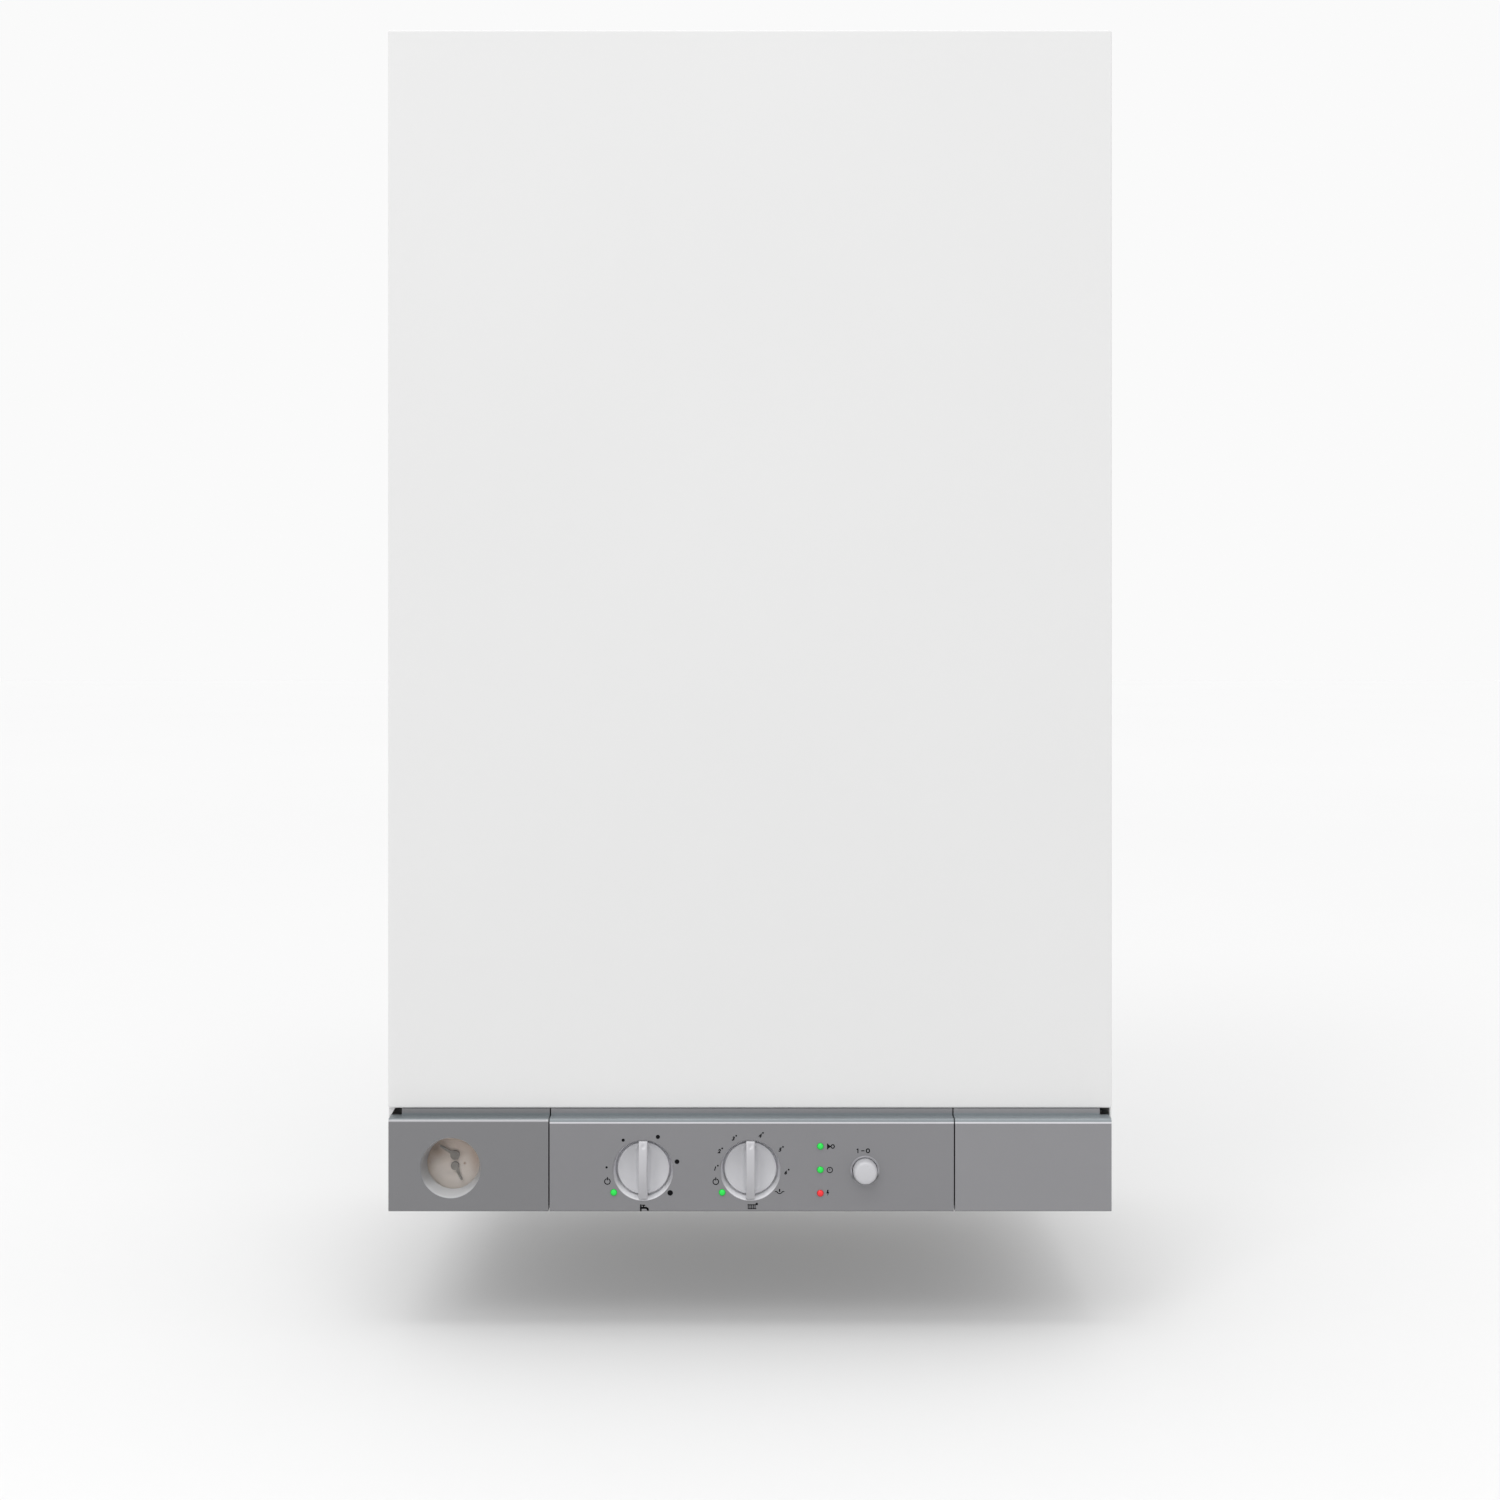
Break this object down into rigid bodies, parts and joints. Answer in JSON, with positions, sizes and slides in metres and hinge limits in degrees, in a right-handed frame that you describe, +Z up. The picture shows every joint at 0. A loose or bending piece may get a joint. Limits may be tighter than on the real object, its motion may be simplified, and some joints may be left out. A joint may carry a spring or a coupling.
{
  "type": "combi boiler",
  "caption": "Wall-hung gas combination boiler: white sheet casing with a grey fold-down control strip, hydraulic and combustion parts inside.",
  "frame": {"origin": "midpoint between the two wall screws, on the wall plane", "axes": "+Z up, front of the appliance faces -Y, +X to the right seen from the front, +Y into the wall"},
  "size_m": [0.45, 0.3623, 0.7638],
  "materials": {
    "white_enamel": "white powder coat, satin",
    "strip_grey": "satin grey moulding",
    "knob_grey": "light grey, semi-gloss",
    "button_white": "off-white, semi-gloss",
    "lamp_green": "green light pipe",
    "lamp_red": "red light pipe",
    "gauge_plastic": "cream gauge case and dial",
    "needle_brown": "dark moulded needle",
    "clear_glass": "clear",
    "tray_grey": "dark grey flame-retardant moulding",
    "black_plastic": "moulded black",
    "red_plastic": "moulded red",
    "board_green": "solder-masked laminate",
    "galvanised": "zinc-coated sheet",
    "stainless": "stainless sheet",
    "aluminised": "aluminised sheet",
    "copper": "drawn copper",
    "brass": "turned brass",
    "cast_aluminium": "die cast",
    "pump_iron": "coated casting",
    "pump_red": "dark red enamel",
    "vessel_red": "red enamel",
    "ceramic_white": "pressed fibre board and porcelain",
    "seal_rubber": "black"
  },
  "bodies": {
    "casing": {"air_pressure_switch": "black_plastic", "air_vent": "brass", "back_frame": "galvanised", "burner": "stainless", "burner_jets": "brass", "casing_gaskets": "seal_rubber", "chamber_lining": "ceramic_white", "combustion_chamber": "aluminised", "copper_pipes": "copper", "cover_catches": "black_plastic", "diverter_actuator": "black_plastic", "diverter_valve": "brass", "electrodes": "ceramic_white", "expansion_vessel": "vessel_red", "fan_housing": "galvanised", "fan_motor": "black_plastic", "filling_tap": "brass", "floor_plate": "galvanised", "flue_hood": "aluminised", "flue_socket": "cast_aluminium", "fold_pins": "stainless", "gas_manifold": "cast_aluminium", "gas_valve": "cast_aluminium", "gas_valve_coils": "black_plastic", "heat_exchanger": "copper", "inner_brackets": "galvanised", "pipe_stubs": "brass", "plate_heat_exchanger": "stainless", "pressure_hose": "seal_rubber", "pump_body": "pump_iron", "pump_motor": "pump_red", "return_block": "brass", "side_panel_left": "white_enamel", "side_panel_right": "white_enamel", "top_panel": "white_enamel", "wall_bracket": "galvanised", "water_sensors": "black_plastic"},
    "front_cover": {"front_cover": "white_enamel", "cover_studs": "galvanised"},
    "control_unit": {"control_tray": "tray_grey", "control_lid": "tray_grey", "fascia_left": "strip_grey", "fascia_centre": "strip_grey", "fascia_right": "strip_grey", "indicator_lights": "lamp_green", "control_board": "board_green", "board_components": "black_plastic", "cable_gland": "black_plastic", "gauge_case": "gauge_plastic", "gauge_glass": "clear_glass"},
    "hot_water_knob": {"hot_water_knob": "knob_grey"},
    "heating_knob": {"heating_knob": "knob_grey"},
    "power_button": {"power_button": "button_white"},
    "pressure_needle": {"pressure_needle": "needle_brown"},
    "temperature_needle": {"temperature_needle": "needle_brown"},
    "fan_impeller": {"fan_impeller": "stainless"},
    "pump_rotor": {"pump_rotor": "stainless"},
    "diverter_stem": {"diverter_stem": "stainless"},
    "relief_valve_knob": {"relief_valve_knob": "red_plastic"},
    "filling_tap_knob": {"filling_tap_knob": "black_plastic"}
  },
  "joints": [
    {"name": "front_cover_pull_off", "type": "slide", "parent": "casing", "child": "front_cover", "axis": [0, -1, 0], "range_m": [0, 0.35]},
    {"name": "control_unit_fold", "type": "hinge", "parent": "casing", "child": "control_unit", "pos_m": [0, -0.235, -0.68], "axis": [1, 0, 0], "range_deg": [0, 90]},
    {"name": "hot_water_knob_turn", "type": "hinge", "parent": "control_unit", "child": "hot_water_knob", "pos_m": [-0.066, -0.347, -0.6624], "axis": [0, 1, 0], "range_deg": [-110, 132]},
    {"name": "heating_knob_turn", "type": "hinge", "parent": "control_unit", "child": "heating_knob", "pos_m": [0.0003, -0.347, -0.6624], "axis": [0, 1, 0], "range_deg": [-110, 130]},
    {"name": "power_button_press", "type": "slide", "parent": "control_unit", "child": "power_button", "axis": [0, 1, 0], "range_m": [0, 0.003], "stiffness_N_per_m": 600},
    {"name": "pressure_needle_turn", "type": "hinge", "parent": "control_unit", "child": "pressure_needle", "pos_m": [-0.18445, -0.3374, -0.6573], "axis": [0, 1, 0], "range_deg": [0, 116]},
    {"name": "temperature_needle_turn", "type": "hinge", "parent": "control_unit", "child": "temperature_needle", "pos_m": [-0.18445, -0.3374, -0.664], "axis": [0, 1, 0], "range_deg": [-35, 85]},
    {"name": "fan_impeller_spin", "type": "hinge", "parent": "casing", "child": "fan_impeller", "pos_m": [-0.023, -0.17, -0.045], "axis": [0, 1, 0], "continuous": true},
    {"name": "pump_rotor_spin", "type": "hinge", "parent": "casing", "child": "pump_rotor", "pos_m": [0.14, -0.17, -0.53], "axis": [0, 1, 0], "continuous": true},
    {"name": "diverter_stem_shift", "type": "slide", "parent": "casing", "child": "diverter_stem", "axis": [0, 1, 0], "range_m": [0, 0.006]},
    {"name": "relief_valve_knob_turn", "type": "hinge", "parent": "casing", "child": "relief_valve_knob", "pos_m": [0.195, -0.15, -0.592], "axis": [0, 1, 0], "range_deg": [0, 90]},
    {"name": "filling_tap_knob_turn", "type": "hinge", "parent": "casing", "child": "filling_tap_knob", "pos_m": [0.105, -0.14, -0.634], "axis": [0, 1, 0], "range_deg": [0, 90]}
  ]
}
